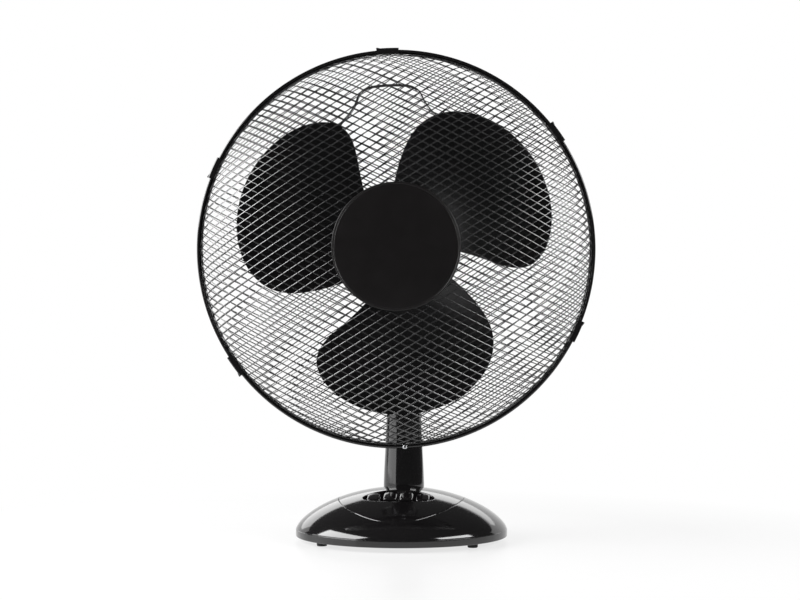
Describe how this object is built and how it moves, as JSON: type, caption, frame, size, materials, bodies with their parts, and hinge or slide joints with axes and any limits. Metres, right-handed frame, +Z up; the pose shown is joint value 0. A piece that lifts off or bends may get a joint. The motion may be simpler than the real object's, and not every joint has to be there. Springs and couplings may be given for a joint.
{
  "type": "desk fan",
  "caption": "Oscillating desk fan: domed round base with speed keys, tapered column, tilting and swinging head, wide blades inside a clipped two-part mesh guard with a plain round badge.",
  "frame": {"origin": "on the desk, under the middle of the round base", "axes": "+Z up, -Y towards the side the keys face, +X to the viewer's right when the keys are seen from the front"},
  "size_m": [0.4293, 0.2711, 0.5395],
  "materials": {
    "gloss_plastic": "glossy black moulded plastic",
    "satin_plastic": "satin black moulded plastic",
    "painted_wire": "black painted steel",
    "steel": "bright steel",
    "zinc": "cast light alloy",
    "iron": "cast iron",
    "copper": "enamelled copper wire",
    "bronze": "sintered bronze",
    "nylon": "natural nylon",
    "rubber": "black rubber"
  },
  "bodies": {
    "base": {"base_cover": "gloss_plastic", "control_panel": "gloss_plastic", "base_plate": "painted_wire", "counterweight": "iron", "rubber_feet": "rubber", "base_screws": "steel", "panel_screws": "steel", "cord_bush": "rubber", "run_capacitor": "nylon", "switch_body": "nylon", "column": "gloss_plastic", "column_nut": "nylon"},
    "key_0": {"key_0": "gloss_plastic"},
    "key_1": {"key_1": "gloss_plastic"},
    "key_2": {"key_2": "gloss_plastic"},
    "key_3": {"key_3": "gloss_plastic"},
    "tilt": {"tilt_bracket": "painted_wire", "tilt_bolt": "steel", "tilt_nut": "steel", "thrust_washer": "nylon"},
    "link": {"swing_link": "steel"},
    "head": {"swing_pin": "steel", "swing_block": "zinc", "front_bell": "zinc", "rear_bell": "zinc", "stator_core": "steel", "windings": "copper", "motor_bushes": "bronze", "through_bolts": "steel", "gearbox_housing": "zinc", "gearbox_cover": "painted_wire", "motor_collar": "gloss_plastic", "motor_cover": "gloss_plastic", "cover_screw": "steel", "rear_guard_ring": "gloss_plastic", "rear_guard_mesh": "painted_wire", "rear_guard_hub": "painted_wire", "guard_nut": "satin_plastic", "carry_handle": "painted_wire", "front_guard_ring": "gloss_plastic", "front_guard_mesh": "painted_wire", "badge": "satin_plastic", "badge_retainer": "satin_plastic", "safety_screw": "steel"},
    "fan": {"rotor": "steel", "motor_shaft": "steel", "worm": "steel", "impeller": "gloss_plastic", "spinner_nut": "gloss_plastic"},
    "drive": {"worm_wheel": "nylon", "gear_spindle": "steel"},
    "crank": {"crank_gear": "nylon"},
    "knob": {"swing_knob": "gloss_plastic"},
    "clip_1": {"guard_clip_1": "gloss_plastic"},
    "clip_2": {"guard_clip_2": "gloss_plastic"},
    "clip_3": {"guard_clip_3": "gloss_plastic"},
    "clip_4": {"guard_clip_4": "gloss_plastic"},
    "clip_5": {"guard_clip_5": "gloss_plastic"}
  },
  "joints": [
    {"name": "key_0_press", "type": "slide", "parent": "base", "child": "key_0", "axis": [0, 0, -1], "range_m": [0, 0.004], "stiffness_N_per_m": 300},
    {"name": "key_1_press", "type": "slide", "parent": "base", "child": "key_1", "axis": [0, 0, -1], "range_m": [0, 0.004], "stiffness_N_per_m": 300},
    {"name": "key_2_press", "type": "slide", "parent": "base", "child": "key_2", "axis": [0, 0, -1], "range_m": [0, 0.004], "stiffness_N_per_m": 300},
    {"name": "key_3_press", "type": "slide", "parent": "base", "child": "key_3", "axis": [0, 0, -1], "range_m": [0, 0.004], "stiffness_N_per_m": 300},
    {"name": "tilt", "type": "hinge", "parent": "base", "child": "tilt", "pos_m": [0, 0.035, 0.232], "axis": [-1, 0, 0], "range_deg": [-12, 22]},
    {"name": "swing", "type": "hinge", "parent": "tilt", "child": "head", "pos_m": [0, 0.035, 0.3], "axis": [0, 0, 1], "range_deg": [-36, 35]},
    {"name": "spin", "type": "hinge", "parent": "head", "child": "fan", "pos_m": [-0.00857, 0.03431, 0.322], "axis": [0.0802, -0.9968, 0], "continuous": true},
    {"name": "drive_turn", "type": "hinge", "parent": "head", "child": "drive", "pos_m": [0.00731, 0.08625, 0.322], "axis": [0, 0, 1], "continuous": true},
    {"name": "crank_turn", "type": "hinge", "parent": "head", "child": "crank", "pos_m": [-0.00906, 0.09774, 0.322], "axis": [0, 0, 1], "continuous": true},
    {"name": "knob_lift", "type": "slide", "parent": "drive", "child": "knob", "axis": [0, 0, 1], "range_m": [0, 0.006]},
    {"name": "link_turn", "type": "hinge", "parent": "tilt", "child": "link", "pos_m": [0.022, 0.035, 0.268], "axis": [0, 0, 1], "range_deg": [-32, 30]},
    {"name": "clip_1_open", "type": "hinge", "parent": "head", "child": "clip_1", "pos_m": [-0.01049, -0.05754, 0.5344], "axis": [-0.9958, -0.0801, -0.0436], "range_deg": [0, 100]},
    {"name": "clip_2_open", "type": "hinge", "parent": "head", "child": "clip_2", "pos_m": [0.1702, -0.043, 0.44696], "axis": [-0.5859, -0.0471, 0.809], "range_deg": [0, 100]},
    {"name": "clip_3_open", "type": "hinge", "parent": "head", "child": "clip_3", "pos_m": [0.19159, -0.04128, 0.23384], "axis": [0.4134, 0.0333, 0.91], "range_deg": [0, 100]},
    {"name": "clip_4_open", "type": "hinge", "parent": "head", "child": "clip_4", "pos_m": [-0.17269, -0.07059, 0.19704], "axis": [0.5859, 0.0471, -0.809], "range_deg": [0, 100]},
    {"name": "clip_5_open", "type": "hinge", "parent": "head", "child": "clip_5", "pos_m": [-0.19484, -0.07237, 0.40847], "axis": [-0.4054, -0.0326, -0.9135], "range_deg": [0, 100]}
  ],
  "couplings": [
    {"joint": "drive_turn", "follows": "spin", "ratio": -0.025},
    {"joint": "crank_turn", "follows": "spin", "ratio": 0.00625},
    {"joint": "link_turn", "follows": "swing", "ratio": 0.78}
  ]
}
